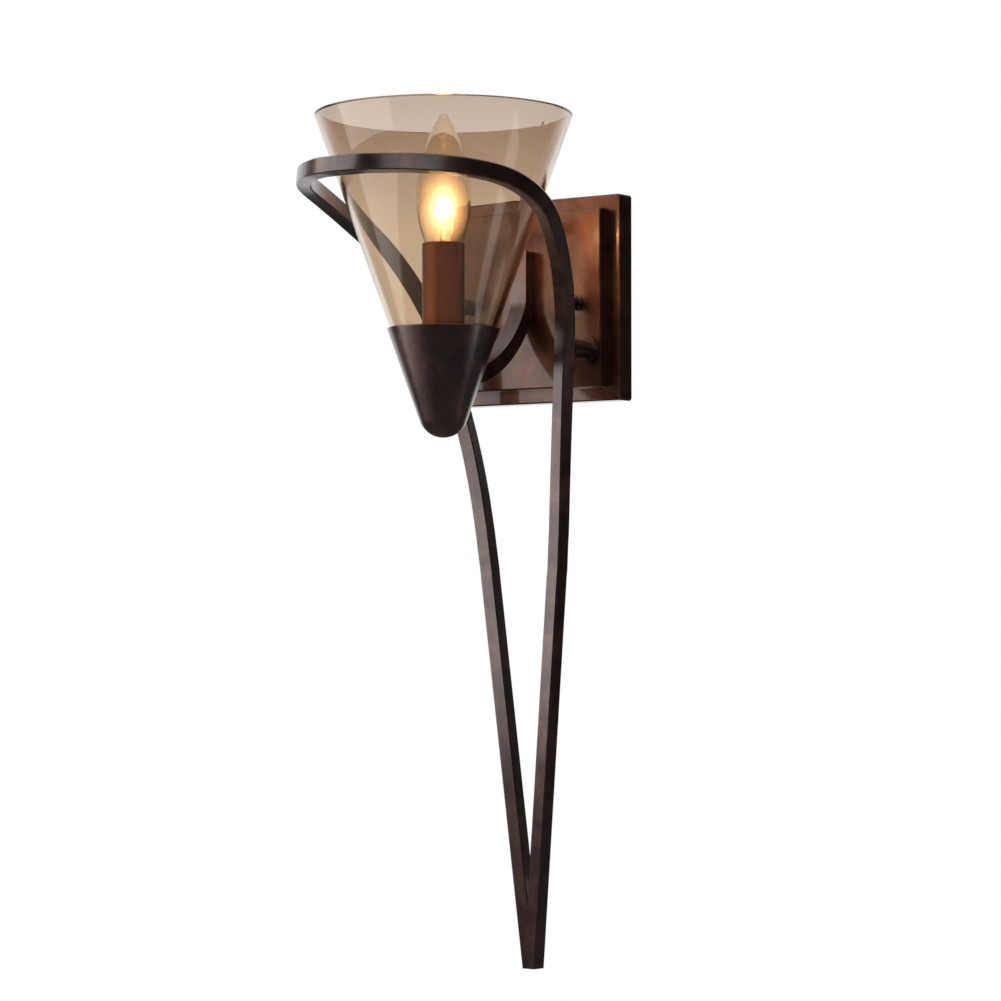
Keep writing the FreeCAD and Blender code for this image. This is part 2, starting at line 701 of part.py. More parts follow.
def socket_plate():
    top = cone_radius(PLATE_TOP, CUP_WALL + PLATE_CLEARANCE)
    low = cone_radius(PLATE_TOP - PLATE_THICK, CUP_WALL + PLATE_CLEARANCE)
    plate = turned(path([(0, PLATE_TOP), (top, PLATE_TOP), (low, PLATE_TOP - PLATE_THICK),
                         (0, PLATE_TOP - PLATE_THICK), (0, PLATE_TOP)]))
    centre = vec(0, -AXIS_OUT, PLATE_TOP)
    plate = plate.cut(rod(SOCKET_NIPPLE + 2 * FIT_CLEARANCE, centre, -Z, PLATE_THICK))
    for k in range(PLATE_VENTS):
        angle = 2 * math.pi * (k + 0.5) / PLATE_VENTS
        spot = centre + vec(math.cos(angle), math.sin(angle), 0) * PLATE_VENT_RADIUS
        plate = plate.cut(rod(PLATE_VENT, spot, -Z, PLATE_THICK))
    return plate


def shade_gasket():
    outer = cone_radius(PLATE_TOP, CUP_WALL) - GASKET_CLEARANCE
    start = vec(0, -AXIS_OUT, PLATE_TOP)
    return tube(2 * outer, 2 * (outer - GASKET_WIDTH), start, Z, GASKET_THICK)


def glass_shade():
    inset = CUP_WALL + SHADE_CLEARANCE
    top = CUP_RIM + SHADE_RISE
    wall = SHADE_WALL / CONE
    low_out = cone_radius(SHADE_FOOT, inset)
    top_out = cone_radius(top, inset)
    edges = path([(low_out - wall, SHADE_FOOT), (low_out, SHADE_FOOT), (top_out, top)])
    peak = top + SHADE_WALL / 3
    edges.append(bow((top_out, top), (top_out - wall / 2, peak), (top_out - wall, top)))
    edges += path([(top_out - wall, top), (low_out - wall, SHADE_FOOT)])
    return turned(edges)


# --- sleeve, socket and bracket -----------------------------------------------------------------
def sleeve_top():
    """Height at which the bulb just clears the sleeve's bore."""
    beside = SLEEVE_BORE / 2 - SLEEVE_CLEARANCE - BULB_DIAMETER / 2 + BULB_BELLY_RADIUS
    return BULB_MIDDLE - math.sqrt(BULB_BELLY_RADIUS ** 2 - beside ** 2)


def candle_sleeve():
    start = vec(0, -AXIS_OUT, PLATE_TOP)
    top = sleeve_top()
    body = tube(SLEEVE_BORE + 2 * SLEEVE_WALL, SLEEVE_BORE, start, Z, top - PLATE_TOP)
    rim = [e for e in body.Edges if abs(e.BoundBox.ZMin - top) < 1e-5]
    return body.makeChamfer(min(SLEEVE_CHAMFER, SLEEVE_WALL * 0.4), rim)


def socket_body():
    height = SOCKET_MOUTH - SOCKET_BOTTOM
    start = vec(0, -AXIS_OUT, SOCKET_BOTTOM)
    body = rod(SOCKET_DIAMETER, start, Z, height)
    well = vec(0, -AXIS_OUT, SOCKET_BOTTOM + SOCKET_FLOOR)
    bore = SHELL_BORE + 2 * SHELL_WALL + 2 * FIT_CLEARANCE
    body = body.cut(rod(bore, well, Z, height - SOCKET_FLOOR))
    return body.cut(rod(BRACKET_SCREW, start, Z, BRACKET_SCREW_REACH))


def socket_shell():
    start = vec(0, -AXIS_OUT, SOCKET_BOTTOM + SOCKET_FLOOR)
    length = SOCKET_MOUTH - SHELL_SHORT - start.z
    return tube(SHELL_BORE + 2 * SHELL_WALL, SHELL_BORE, start, Z, length)


def socket_contact():
    """A strip on the socket's floor, folded up and back under the bulb's tip contact."""
    floor = SOCKET_BOTTOM + SOCKET_FLOOR
    half = CONTACT_WIDTH / 2
    reach = CONTACT_LENGTH / 2
    thick = CONTACT_THICK
    under = [(reach, floor), (reach, floor + thick), (thick - reach, floor + thick),
             (-reach / 2, CONTACT_TOP - thick), (reach / 2, CONTACT_TOP - thick)]
    over = [(reach / 2, CONTACT_TOP), (-reach / 2 - thick, CONTACT_TOP), (-reach, floor + thick),
            (-reach, floor)]
    outline = [vec(x, -AXIS_OUT - half, z) for x, z in under + over + under[:1]]
    return Part.Face(Part.makePolygon(outline)).extrude(vec(0, CONTACT_WIDTH, 0))


def socket_bracket():
    """A bent strap: foot on the plate, upright beside the axis, top under the socket."""
    near = -AXIS_OUT - BRACKET_WIDTH / 2
    far = -AXIS_OUT + BRACKET_WIDTH / 2
    inside = SOCKET_NUT_HEX / 2 + BRACKET_NUT_GAP
    outside = inside + BRACKET_SHEET
    strap = slab(vec(-BRACKET_TAIL, near, PLATE_TOP), vec(outside, far, SOCKET_BOTTOM))
    corners = []
    for edge in strap.Edges:
        box = edge.BoundBox
        if box.YLength > BRACKET_WIDTH - 1e-3 and abs(box.XMin - outside) < 1e-4:
            corners.append(edge)
    strap = strap.makeFillet(2 * BRACKET_SHEET, corners)
    strap = strap.cut(slab(vec(-BRACKET_TAIL, near, PLATE_TOP + BRACKET_SHEET),
                           vec(inside, far, SOCKET_BOTTOM - BRACKET_SHEET)))
    hole = vec(0, -AXIS_OUT, PLATE_TOP)
    strap = strap.cut(rod(SOCKET_NIPPLE + 2 * FIT_CLEARANCE, hole, Z, BRACKET_SHEET))
    under = vec(0, -AXIS_OUT, SOCKET_BOTTOM - BRACKET_SHEET)
    return strap.cut(rod(BRACKET_SCREW + 2 * FIT_CLEARANCE, under, Z, BRACKET_SHEET))


def bracket_screw():
    seat = vec(0, -AXIS_OUT, SOCKET_BOTTOM - BRACKET_SHEET)
    shank = rod(BRACKET_SCREW, seat, Z, BRACKET_SHEET + BRACKET_SCREW_REACH)
    head = rod(BRACKET_SCREW_HEAD, seat, -Z, BRACKET_SCREW_HEAD_THICK)
    return shank.fuse(head).removeSplitter()


def socket_nipple():
    low = PLATE_TOP - PLATE_THICK - SOCKET_NIPPLE_DOWN
    start = vec(0, -AXIS_OUT, low)
    length = SOCKET_NIPPLE_DOWN + PLATE_THICK + SOCKET_NIPPLE_UP
    return tube(SOCKET_NIPPLE, SOCKET_NIPPLE_BORE, start, Z, length)


def socket_nipple_nuts():
    pair = []
    seats = ((PLATE_TOP - PLATE_THICK, -Z), (PLATE_TOP + BRACKET_SHEET, Z))
    for height, direction in seats:
        start = vec(0, -AXIS_OUT, height)
        nut = hexagon(SOCKET_NUT_HEX, SOCKET_NUT_HEIGHT, start, direction)
        pair.append(nut.cut(rod(SOCKET_NIPPLE, start, direction, SOCKET_NUT_HEIGHT)))
    return Part.Compound(pair)


# --- bulb ---------------------------------------------------------------------------------------
def bulb_outline(inset):
    """Half outline of the candle envelope, set in by its wall, from the neck to the point."""
    wide = BULB_DIAMETER / 2 - inset
    neck = BULB_NECK / 2 - inset
    belly = BULB_BELLY_RADIUS - inset
    point = BULB_POINT_RADIUS - inset
    rise = BULB_TIP - BULB_POINT_RADIUS - BULB_MIDDLE
    shoulder = (wide ** 2 + rise ** 2 - point ** 2) / (2 * (wide - point))
    drop = math.sqrt(belly ** 2 - (belly - wide + neck) ** 2)
    turn = math.asin(rise / (shoulder - point))
    spots = []
    for radius, angle in ((belly, -math.asin(drop / belly)), (belly, -math.asin(drop / belly) / 2),
                          (shoulder, 0), (shoulder, turn / 2), (shoulder, turn)):
        spots.append((wide - radius + radius * math.cos(angle),
                      BULB_MIDDLE + radius * math.sin(angle)))
    half = (turn + math.pi / 2) / 2
    near_tip = (point * math.cos(half), BULB_MIDDLE + rise + point * math.sin(half))
    edges = path([(neck, BASE_TOP), spots[0]])
    edges.append(bow(spots[0], spots[1], spots[2]))
    edges.append(bow(spots[2], spots[3], spots[4]))
    edges.append(bow(spots[4], near_tip, (0, BULB_TIP - inset)))
    return edges


def bulb_solid(inset):
    return turned(bulb_outline(inset) + path([(0, BULB_TIP - inset), (0, BASE_TOP),
                                              (BULB_NECK / 2 - inset, BASE_TOP)]))


def bulb_glass():
    return bulb_solid(0).cut(bulb_solid(BULB_WALL))


def bulb_base():
    """The plain shell that stands for the lamp's screw cap, with its wider skirt."""
    centre = vec(0, -AXIS_OUT, BASE_BOTTOM)
    skirt = vec(0, -AXIS_OUT, SKIRT_BOTTOM)
    shell = rod(BASE_DIAMETER, centre, Z, BASE_HEIGHT).fuse(
        rod(BASE_SKIRT, skirt, Z, BASE_SKIRT_HEIGHT))
    hollow = rod(BASE_DIAMETER - 2 * BASE_WALL, centre, Z, BASE_HEIGHT + BASE_SKIRT_HEIGHT)
    return shell.cut(hollow).removeSplitter()


def bulb_insulator():
    outer = BASE_DIAMETER / 2
    inner = TIP_CONTACT / 2
    low = BASE_BOTTOM - INSULATOR_HEIGHT
    return turned(path([(0, BASE_BOTTOM), (outer, BASE_BOTTOM), (inner, low), (0, low),
                        (0, BASE_BOTTOM)]))


def bulb_contact():
    low = BASE_BOTTOM - INSULATOR_HEIGHT
    radius = TIP_CONTACT / 2
    edges = path([(radius, low), (0, low), (0, low - TIP_CONTACT_HEIGHT)])
    through = (radius * 0.75, low - TIP_CONTACT_HEIGHT * 0.7)
    edges.append(bow((0, low - TIP_CONTACT_HEIGHT), through, (radius, low)))
    return turned(edges)


def bulb_stem():
    """Pressed glass mount: a flare in the neck, a slim rod and a button that holds the wires."""
    flare = BULB_NECK / 2 - BULB_WALL - FIT_CLEARANCE
    slim = STEM_DIAMETER / 2
    button = STEM_BUTTON / 2
    top = BASE_TOP + STEM_HEIGHT
    return turned(path([(0, BASE_TOP), (flare, BASE_TOP), (slim, BASE_TOP + STEM_HEIGHT / 3),
                        (slim, top - button), (button, top - button / 2), (button, top),
                        (0, top), (0, BASE_TOP)]))


def filament_points():
    """A zigzag of coil between the two supports, seen as an M from the front."""
    half = FILAMENT_SPAN / 2
    low = BASE_TOP + STEM_HEIGHT + FILAMENT_STAND
    top = low + FILAMENT_HEIGHT
    points = []
    for k, x in enumerate((-half, -half / 2, 0, half / 2, half)):
        points.append(vec(x, -AXIS_OUT, low if k % 2 == 0 else top))
    return points


def wire(points, diameter):
    shape = None
    for a, b in zip(points, points[1:]):
        run = rod(diameter, a, b.sub(a), b.sub(a).Length)
        knob = Part.makeSphere(diameter / 2, b)
        shape = run.fuse(knob) if shape is None else shape.fuse([run, knob])
    return shape.removeSplitter()


def bulb_filament():
    return wire(filament_points(), FILAMENT_COIL)


def support_wires():
    """Two lead wires from the top face of the stem to the ends of the coil."""
    points = filament_points()
    foot_drop = vec(0, 0, SUPPORT_WIRE)
    pair = []
    for end in (points[0], points[-1]):
        side = 1 if end.x > 0 else -1
        foot = vec(side * STEM_DIAMETER / 4, -AXIS_OUT, BASE_TOP + STEM_HEIGHT)
        stop = end - vec(0, 0, FILAMENT_COIL / 2 + SUPPORT_WIRE / 2)
        pair.append(wire([foot - foot_drop, stop], SUPPORT_WIRE).cut(bulb_stem()))
    return Part.Compound(pair)


def export(name, shape):
    shape.exportStep("parts/" + name + ".step")
    solids = len(shape.Solids)
    print(name, "solids", solids, "valid", shape.isValid(), "volume", round(shape.Volume, 1))


def main():
    os.makedirs("parts", exist_ok=True)
    export("canopy", canopy())
    export("mounting_crossbar", crossbar())
    export("mounting_studs", mounting_studs())
    export("stud_locknuts", stud_locknuts())
    export("ground_screw", ground_screw())
    export("ball_nut_left", ball_nut(-1))
    export("ball_nut_right", ball_nut(1))
    export("arm", arm())
    export("arm_end_cap", arm_end_cap())
    export("arm_nipple", arm_nipple())
    export("nipple_washer", nipple_washer())
    export("nipple_nut", nipple_nut())
    export("nipple_bushing", nipple_bushing())
    export("arm_screw", arm_screw())
    frame = hoop_frame()
    export("hoop_frame", frame)
    export("standoff_left", standoff(-1, frame))
    export("standoff_right", standoff(1, frame))
    export("standoff_screws", standoff_screws())
    export("cup", cup())
    export("socket_plate", socket_plate())
    export("socket_nipple", socket_nipple())
    export("socket_nipple_nuts", socket_nipple_nuts())
    export("socket_bracket", socket_bracket())
    export("bracket_screw", bracket_screw())
    export("socket_body", socket_body())
    export("socket_shell", socket_shell())
    export("socket_contact", socket_contact())
    export("candle_sleeve", candle_sleeve())
    export("shade_gasket", shade_gasket())
    export("glass_shade", glass_shade())
    export("bulb_glass", bulb_glass())
    export("bulb_stem", bulb_stem())
    export("bulb_filament", bulb_filament())
    export("filament_supports", support_wires())
    export("bulb_base", bulb_base())
    export("bulb_insulator", bulb_insulator())
    export("bulb_contact", bulb_contact())


main()
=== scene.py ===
import json
import math

import bmesh
import bpy
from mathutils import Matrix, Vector


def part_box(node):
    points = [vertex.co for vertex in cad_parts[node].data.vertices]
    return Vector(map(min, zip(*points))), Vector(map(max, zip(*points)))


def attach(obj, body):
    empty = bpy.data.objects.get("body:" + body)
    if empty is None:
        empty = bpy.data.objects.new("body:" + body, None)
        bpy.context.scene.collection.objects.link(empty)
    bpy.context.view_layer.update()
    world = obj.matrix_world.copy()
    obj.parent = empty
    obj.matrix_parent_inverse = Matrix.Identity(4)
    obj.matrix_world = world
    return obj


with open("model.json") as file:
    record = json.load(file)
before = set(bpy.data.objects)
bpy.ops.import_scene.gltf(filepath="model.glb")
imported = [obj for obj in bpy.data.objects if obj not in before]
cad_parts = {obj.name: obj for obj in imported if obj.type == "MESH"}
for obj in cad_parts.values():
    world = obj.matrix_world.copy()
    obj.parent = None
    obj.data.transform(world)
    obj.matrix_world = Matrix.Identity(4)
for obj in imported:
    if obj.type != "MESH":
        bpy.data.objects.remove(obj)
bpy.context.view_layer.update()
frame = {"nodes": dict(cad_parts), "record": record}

# --- camera: the photograph's viewpoint ---------------------------------------------------------
CAMERA_SPOT = (1.2591, -1.7998, -0.2059)
CAMERA_AZIMUTH = 35.78     # degrees to the right of the wall's normal
CAMERA_TILT = 2.05         # degrees upward
CAMERA_LENS = 119.31       # mm
CAMERA_SENSOR = 36.0       # mm
CAMERA_NEAR = 0.01         # m


def make_camera():
    data = bpy.data.cameras.new("camera")
    data.sensor_width = CAMERA_SENSOR
    data.lens = CAMERA_LENS
    data.clip_start = CAMERA_NEAR
    camera = bpy.data.objects.new("camera", data)
    camera.location = CAMERA_SPOT
    camera.rotation_euler = (math.radians(90 + CAMERA_TILT), 0, math.radians(CAMERA_AZIMUTH))
    bpy.context.scene.collection.objects.link(camera)
    bpy.context.scene.camera = camera


make_camera()


# --- node helpers -------------------------------------------------------------------------------
def put(tree, kind, values=None, **settings):
    """Adds a node; `values` maps its inputs to constants or to sockets to link."""
    made = tree.nodes.new(kind)
    for key, value in settings.items():
        setattr(made, key, value)
    for key, value in (values or {}).items():
        if isinstance(value, bpy.types.NodeSocket):
            tree.links.new(value, made.inputs[key])
        else:
            made.inputs[key].default_value = value
    return made


def math_node(tree, operation, a, b=0.0):
    return put(tree, "ShaderNodeMath", {0: a, 1: b}, operation=operation).outputs[0]


def vector_node(tree, operation, output, *values):
    made = put(tree, "ShaderNodeVectorMath", dict(enumerate(values)), operation=operation)
    return made.outputs[output]


def spread(tree, value, low, high, to_low, to_high, smooth=False):
    """Maps the range `low` to `high` onto the range `to_low` to `to_high`."""
    made = put(tree, "ShaderNodeMapRange", {"Value": value, "From Min": low, "From Max": high,
                                            "To Min": to_low, "To Max": to_high})
    if smooth:
        made.interpolation_type = "SMOOTHSTEP"
    return made.outputs["Result"]


def space(tree, stretch=(1, 1, 1)):
    coord = put(tree, "ShaderNodeTexCoord").outputs["Object"]
    made = put(tree, "ShaderNodeMapping", {"Vector": coord, "Scale": stretch})
    return made.outputs["Vector"]


def noise(tree, vector, scale, detail=4.0, rough=0.55, distort=0.0):
    made = put(tree, "ShaderNodeTexNoise", {"Vector": vector, "Scale": scale, "Detail": detail,
                                            "Roughness": rough, "Distortion": distort})
    return made.outputs["Fac"]


def ramp(tree, value, stops):
    made = put(tree, "ShaderNodeValToRGB", {"Fac": value})
    points = made.color_ramp.elements
    while len(points) < len(stops):
        points.new(0.5)
    for point, (place, colour) in zip(points, stops):
        point.position = place
        point.color = (*colour, 1.0)
    return made.outputs["Color"]


def pair(low, high):
    """Two colours at the noise's usual low and high."""
    return (0.3, low), (0.7, high)


def mix(tree, amount, a, b):
    """Mixes colour `b` over colour `a`; each value is a socket or a constant."""
    made = put(tree, "ShaderNodeMix", data_type="RGBA")
    for socket, value in ((0, amount), (6, a), (7, b)):
        if isinstance(value, bpy.types.NodeSocket):
            tree.links.new(value, made.inputs[socket])
        else:
            made.inputs[socket].default_value = value if socket == 0 else (*value, 1.0)
    return made.outputs[2]


def bump(tree, height, strength, distance, surface):
    made = put(tree, "ShaderNodeBump", {"Height": height, "Strength": strength,
                                        "Distance": distance})
    tree.links.new(made.outputs["Normal"], surface.inputs["Normal"])


def seen_directly(tree):
    """1 where the eye looks, straight or through glass, and 0 for reflections and for light."""
    path = put(tree, "ShaderNodeLightPath").outputs
    return math_node(tree, "MAXIMUM", path["Is Camera Ray"], path["Is Transmission Ray"])


def blank(name):
    made = bpy.data.materials.new(name)
    made.use_nodes = True
    tree = made.node_tree
    tree.nodes.clear()
    surface = put(tree, "ShaderNodeBsdfPrincipled")
    out = put(tree, "ShaderNodeOutputMaterial")
    tree.links.new(surface.outputs["BSDF"], out.inputs["Surface"])
    return made, tree, surface


# --- kinds of finish ----------------------------------------------------------------------------
EDGE_STARTS = 0.985        # cosine between the rounded and the true normal where the edge wear, and on the bronze the painted edge highlight, starts
EDGE_FULL = 0.90           # and where it is full
PATCH_SCALE = 2.7          # scale of the gloss patches over that of the colour
GRAIN_GLOSS = 0.03         # how far the fine grain shifts the roughness
CLOUD_SCALE = 25.0         # scale of the clouding in the glass's tint
CLOUD_RISE = 0.004         # how far the clouding shifts the tint's height, in metres
WAVE_STRETCH = (38, 38, 9)
BRONZE_PLACES = (0.34, 0.52, 0.68)
# edge colour, reach and strength for the bronze: rubbed wear, and a painted highlight along every
# edge
BRONZE_RUB_AND_HIGHLIGHT = ((0.30, 0.17, 0.125), 0.0009, 0.75)


def wear_and_highlight_edges(tree, radius, grain):
    """How near the surface is to an edge, broken up by a grain."""
    round_normal = put(tree, "ShaderNodeBevel", {"Radius": radius}, samples=6).outputs["Normal"]
    flat_normal = put(tree, "ShaderNodeNewGeometry").outputs["Normal"]
    dot = vector_node(tree, "DOT_PRODUCT", "Value", round_normal, flat_normal)
    near = spread(tree, dot, EDGE_STARTS, EDGE_FULL, 0.0, 1.0)
    return math_node(tree, "MULTIPLY", near, spread(tree, grain, 0.35, 0.65, 0.25, 1.0))


def finish(name, stops, rough, scale=60.0, stretch=(1, 1, 1), grain=900.0, relief=0.1,
           depth=0.0001, metallic=0.0, edge_wear_and_highlight=None, **sockets):
    """Colour by a broad noise over `stops`, gloss by a second noise, relief by a fine one.
    The edge argument gives the colour on the edges (real wear, and on the bronze also a painted
    highlight), how far it reaches in metres, and how strong it is."""
    made, tree, surface = blank(name)
    vector = space(tree, stretch)
    broad = noise(tree, vector, scale, 6.0, 0.62, 0.3)
    fine = noise(tree, vector, grain, 3.0)
    patch = noise(tree, vector, scale * PATCH_SCALE, 3.0)
    colour = ramp(tree, broad, stops)
    # the edges take the given colour: wear, and on the bronze also a painted highlight
    if edge_wear_and_highlight:
        worn_and_highlight_colour, radius, amount = edge_wear_and_highlight
        near = math_node(tree, "MULTIPLY", wear_and_highlight_edges(tree, radius, patch), amount)
        colour = mix(tree, near, colour, worn_and_highlight_colour)
    tree.links.new(colour, surface.inputs["Base Color"])
    gloss = math_node(tree, "ADD", spread(tree, patch, 0.3, 0.7, rough[0], rough[1]),
                      spread(tree, fine, 0.0, 1.0, -GRAIN_GLOSS, GRAIN_GLOSS))
    tree.links.new(gloss, surface.inputs["Roughness"])
    bump(tree, fine, relief, depth, surface)
    surface.inputs["Metallic"].default_value = metallic
    for key, value in sockets.items():
        surface.inputs[key.replace("_", " ")].default_value = value
    return made


def bronze(name, colours, rough, relief, coat_rough, coat_ior):
    """Brown lacquered steel under a thin clear lacquer: red-brown along the edges, partly rubbed
    wear and partly a painted highlight.
    """
    stops = tuple(zip(BRONZE_PLACES, colours))
    return finish(name, stops, rough, scale=38.0, grain=1500.0, relief=relief, depth=0.00006,
                  metallic=0.92, edge_wear_and_highlight=BRONZE_RUB_AND_HIGHLIGHT,
                  Coat_Weight=1.0, Coat_IOR=coat_ior, Coat_Roughness=coat_rough)


def glass(name, low, high, ior=1.5, wave=0.0):
    """Clear glass whose tint runs from `low` to `high`, each a height in metres and a colour,
    slightly clouded, with hand-blown waves where `wave` gives their depth in metres."""
    made, tree, surface = blank(name)
    vector = space(tree)
    height = put(tree, "ShaderNodeSeparateXYZ", {0: vector}).outputs["Z"]
    cloud = spread(tree, noise(tree, vector, CLOUD_SCALE, 2.0), 0.3, 0.7, -CLOUD_RISE, CLOUD_RISE)
    place = spread(tree, math_node(tree, "ADD", height, cloud), low[0], high[0], 0.0, 1.0)
    tree.links.new(ramp(tree, place, ((0.0, low[1]), (1.0, high[1]))),
                   surface.inputs["Base Color"])
    surface.inputs["Roughness"].default_value = 0.0
    surface.inputs["IOR"].default_value = ior
    surface.inputs["Transmission Weight"].default_value = 1.0
    if wave:
        ripple = noise(tree, space(tree, WAVE_STRETCH), 1.0, 0.0)
        bump(tree, ripple, 1.0, wave, surface)
    return made


def lit_coil(name, colour, strength):
    """Glowing wire, hotter in patches."""
    made, tree, surface = blank(name)
    heat = noise(tree, space(tree), 300.0, 2.0)
    tree.links.new(ramp(tree, heat, pair(colour, (1.0, 0.9, 0.7))),
                   surface.inputs["Emission Color"])
    surface.inputs["Base Color"].default_value = (0.5, 0.45, 0.4, 1.0)
    surface.inputs["Emission Strength"].default_value = strength
    surface.inputs["Roughness"].default_value = 0.5
    return made


# --- materials, one for each of the record's slots ----------------------------------------------
MATERIALS = {
    "bronze": bronze("bronze_lacquer", ((0.040, 0.019, 0.016), (0.092, 0.044, 0.035),
                                        (0.165, 0.078, 0.054)),
                     (0.36, 0.48), relief=0.12, coat_rough=0.22, coat_ior=1.75),
    "copper_sleeve": finish("sleeve_copper",
                            ((0.32, (0.088, 0.028, 0.011)), (0.68, (0.135, 0.047, 0.020))),
                            (0.27, 0.38), scale=30.0, stretch=(22, 22, 1), grain=120.0,
                            relief=0.12, metallic=0.92, depth=0.00004),
    "dark_nuts": finish("nut_bronze", pair((0.07, 0.05, 0.045), (0.16, 0.12, 0.11)),
                        (0.12, 0.22), scale=120.0, grain=2500.0, relief=0.05, metallic=0.9),
    # the amber tint is lighter towards the bottom as painted light: the lamp's glow on the lower
    # glass
    "amber_glass": glass("amber_blown_glass", (0.045, (0.74, 0.62, 0.49)),
                         (0.112, (0.57, 0.45, 0.36)), ior=1.36, wave=0.0002),
    "clear_glass": glass("bulb_clear_glass", (0.03, (0.97, 0.90, 0.78)),
                         (0.10, (0.95, 0.90, 0.80)), ior=1.42),
    "stem_glass": glass("pressed_clear_glass", (0.02, (0.93, 0.90, 0.84)),
                        (0.05, (0.96, 0.94, 0.90)), wave=0.0002),
    "filament": lit_coil("hot_tungsten", (1.0, 0.72, 0.38), 60.0),
    "wire": finish("nickel_wire", pair((0.42, 0.39, 0.35), (0.62, 0.58, 0.53)),
                   (0.3, 0.45), scale=400.0, grain=4000.0, metallic=1.0),
    "cap_brass": finish("cap_brass_plated", pair((0.62, 0.46, 0.22), (0.80, 0.63, 0.36)),
                        (0.2, 0.34), scale=140.0, stretch=(1, 1, 6), grain=1800.0, metallic=1.0),
    "cap_insulator": finish("black_glass", pair((0.008, 0.008, 0.010), (0.02, 0.02, 0.024)),
                            (0.06, 0.16), scale=200.0, grain=2500.0, relief=0.04),
    "solder": finish("soft_solder", pair((0.42, 0.42, 0.41), (0.66, 0.66, 0.64)),
                     (0.3, 0.5), scale=500.0, grain=2200.0, relief=0.3, metallic=1.0),
    "phenolic": finish("moulded_phenolic", pair((0.016, 0.013, 0.011), (0.04, 0.034, 0.03)),
                       (0.35, 0.5), scale=220.0, grain=2600.0, relief=0.15),
    "brass": finish("pressed_brass", pair((0.58, 0.42, 0.2), (0.76, 0.58, 0.31)),
                    (0.25, 0.4), scale=150.0, stretch=(1, 1, 5), grain=1800.0, metallic=1.0),
    "rubber": finish("silicone_ring", pair((0.014, 0.014, 0.014), (0.035, 0.034, 0.033)),
                     (0.6, 0.75), scale=180.0, grain=2400.0, relief=0.25),
    "zinc": finish("zinc_plate", ((0.28, (0.40, 0.41, 0.40)), (0.5, (0.55, 0.55, 0.52)),
                                  (0.74, (0.66, 0.64, 0.58))),
                   (0.28, 0.44), scale=90.0, grain=1600.0, relief=0.15, metallic=1.0,
                   edge_wear_and_highlight=((0.75, 0.74, 0.70), 0.0005, 0.5)),
    "ground_green": finish("green_lacquer", pair((0.03, 0.16, 0.05), (0.06, 0.27, 0.09)),
                           (0.25, 0.38), scale=300.0, grain=2000.0, relief=0.1,
                           edge_wear_and_highlight=((0.5, 0.5, 0.45), 0.0004, 0.6)),
    "white_plastic": finish("off_white_plastic", pair((0.68, 0.66, 0.60), (0.78, 0.76, 0.71)),
                            (0.38, 0.5), scale=250.0, grain=2000.0, relief=0.08),
}

# the canopy's sheet is glossier than the bar and the cup, and its redder colour is painted light:
# the warm glow of the lamp and the amber glass
WARM_LIT_PANEL = bronze("bronze_panel_warm_lit", ((0.060, 0.022, 0.012), (0.115, 0.044, 0.025),
                                (0.175, 0.069, 0.038)),
               (0.38, 0.50), relief=0.06, coat_rough=0.09, coat_ior=1.5)

for part in frame["record"]["subparts"]:
    node = part["node"]
    for holder in frame["nodes"][node].material_slots:
        holder.material = WARM_LIT_PANEL if node == "canopy" else MATERIALS[part["material_slot"]]

# light passes through the glass to what is inside it and behind it
for name in ("glass_shade", "bulb_glass", "bulb_stem"):
    frame["nodes"][name].visible_shadow = False


# --- the glow round the lit filament ------------------------------------------------------------
GLOW_RADIUS = 0.0160
GLOW_TALL = 1.55           # height of the glow over its width
GLOW_FINENESS = 4
GLOWS = ((0.0068, 420.0, (1.0, 0.80, 0.48)),      # reach, strength and colour of the core
         (0.0130, 80.0, (1.0, 0.52, 0.18)))       # and of the haze round it


def middle(node, axis):
    low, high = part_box(node)
    return (low[axis] + high[axis]) / 2


def glow_material():
    """No surface, and a volume that shines less with the distance from the middle."""
    made, tree, surface = blank("filament_glow")
    surface.inputs["Alpha"].default_value = 0.0
    place = space(tree, (1, 1, 1 / GLOW_TALL))
    length = vector_node(tree, "LENGTH", "Value", place)
    parts = []
    for reach, strength, colour in GLOWS:
        ratio = math_node(tree, "DIVIDE", length, reach)
        power = math_node(tree, "MULTIPLY", math_node(tree, "MULTIPLY", ratio, ratio), -1.0)
        fall = math_node(tree, "MULTIPLY", math_node(tree, "EXPONENT", power), strength)
        parts.append(put(tree, "ShaderNodeEmission", {"Color": (*colour, 1), "Strength": fall}))
    both = put(tree, "ShaderNodeAddShader", {0: parts[0].outputs[0], 1: parts[1].outputs[0]})
    out = next(n for n in tree.nodes if n.type == "OUTPUT_MATERIAL")
    tree.links.new(both.outputs[0], out.inputs["Volume"])
    return made


def lamp_glow():
    mesh = bpy.data.meshes.new("lamp_glow")
    form = bmesh.new()
    bmesh.ops.create_icosphere(form, subdivisions=GLOW_FINENESS, radius=GLOW_RADIUS)
    bmesh.ops.scale(form, vec=(1, 1, GLOW_TALL), verts=form.verts)
    for face in form.faces:
        face.smooth = True
    form.to_mesh(mesh)
    form.free()
    mesh.materials.append(glow_material())
    made = bpy.data.objects.new("lamp_glow", mesh)
    made.location = (0.0, middle("glass_shade", 1), middle("bulb_filament", 2))
    made.visible_shadow = False
    made.visible_diffuse = False
    bpy.context.scene.collection.objects.link(made)
    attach(made, "bulb")
    return made


GLOW = lamp_glow()


# --- lights -------------------------------------------------------------------------------------
CARDS = (                  # name, place, what it faces, size and radiance
    ("softbox", (-0.53, -0.72, 0.10), (0.0, -0.11, 0.10), (0.85, 0.90), 1.9),
    ("high_card", (0.82, -0.99, 0.52), (0.03, -0.20, 0.07), (0.95, 0.50), 1.0),
    ("right_card", (0.50, 0.075, -0.18), (0.04, -0.115, 0.09), (0.13, 0.16), 1.6),
)
LAMP_POWER = 0.075         # W
LAMP_COLOUR = (1.0, 0.37, 0.11)
LAMP_RADIUS = 0.004


